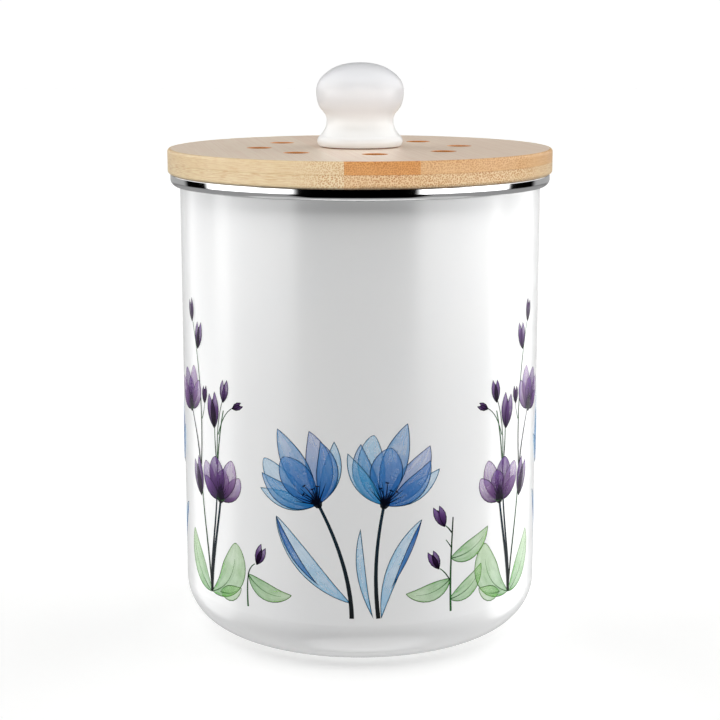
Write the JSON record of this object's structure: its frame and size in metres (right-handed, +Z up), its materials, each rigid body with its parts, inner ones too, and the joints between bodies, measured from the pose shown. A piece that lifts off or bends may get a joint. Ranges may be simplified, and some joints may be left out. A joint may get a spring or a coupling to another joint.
{
  "type": "vented canister",
  "caption": "Round enamelled steel canister with a rolled rim band and a vented bamboo lift-off lid with a turned knob, a seal and a clipped-in filter pad.",
  "frame": {"origin": "centre of the base, on the surface that the canister stands on", "axes": "+Z up along the can's axis; -Y is the side with the two blue flowers"},
  "size_m": [0.152, 0.152, 0.225],
  "materials": {
    "white_enamel": "glossy white vitreous enamel on steel, floral transfer border on the wall",
    "polished_steel": "mirror-polished stainless sheet",
    "bamboo_upper": "oiled bamboo, strips of straight grain",
    "bamboo_lower": "oiled bamboo, strips of straight grain",
    "bamboo_plug": "oiled bamboo, sanded",
    "silicone": "translucent white silicone",
    "charcoal_felt": "needled charcoal felt",
    "glazed_white": "clear-glazed white ceramic",
    "gasket_sheet": "soft clear sheet",
    "brass": "turned brass",
    "zinc_steel": "bright zinc-plated steel",
    "clip_steel": "brushed stainless sheet",
    "screw_steel": "stainless"
  },
  "bodies": {
    "canister": {"canister_shell": "white_enamel", "rim_band": "polished_steel"},
    "lid_seal": {"seal_ring": "silicone"},
    "lid": {"lid_upper_ply": "bamboo_upper", "lid_lower_ply": "bamboo_lower", "lid_plug": "bamboo_plug", "filter_pad": "charcoal_felt", "knob": "glazed_white", "knob_gasket": "gasket_sheet", "knob_insert": "brass", "knob_washer": "zinc_steel", "knob_bolt": "zinc_steel", "clip_screw_1": "screw_steel", "clip_screw_2": "screw_steel", "clip_screw_3": "screw_steel"},
    "clip_1": {"turn_clip_1": "clip_steel"},
    "clip_2": {"turn_clip_2": "clip_steel"},
    "clip_3": {"turn_clip_3": "clip_steel"}
  },
  "joints": [
    {"name": "lid_lift", "type": "slide", "parent": "canister", "child": "lid_seal", "axis": [0, 0, 1], "range_m": [0, 0.06]},
    {"name": "lid_turn", "type": "hinge", "parent": "lid_seal", "child": "lid", "pos_m": [0, 0, 0.1776], "axis": [0, 0, 1], "continuous": true},
    {"name": "clip_1_turn", "type": "hinge", "parent": "lid", "child": "clip_1", "pos_m": [0.05283, 0.0305, 0.1719], "axis": [0, 0, 1], "range_deg": [-90, 90]},
    {"name": "clip_2_turn", "type": "hinge", "parent": "lid", "child": "clip_2", "pos_m": [-0.05283, 0.0305, 0.1719], "axis": [0, 0, 1], "range_deg": [-90, 90]},
    {"name": "clip_3_turn", "type": "hinge", "parent": "lid", "child": "clip_3", "pos_m": [0, -0.061, 0.1719], "axis": [0, 0, 1], "range_deg": [-90, 90]}
  ]
}
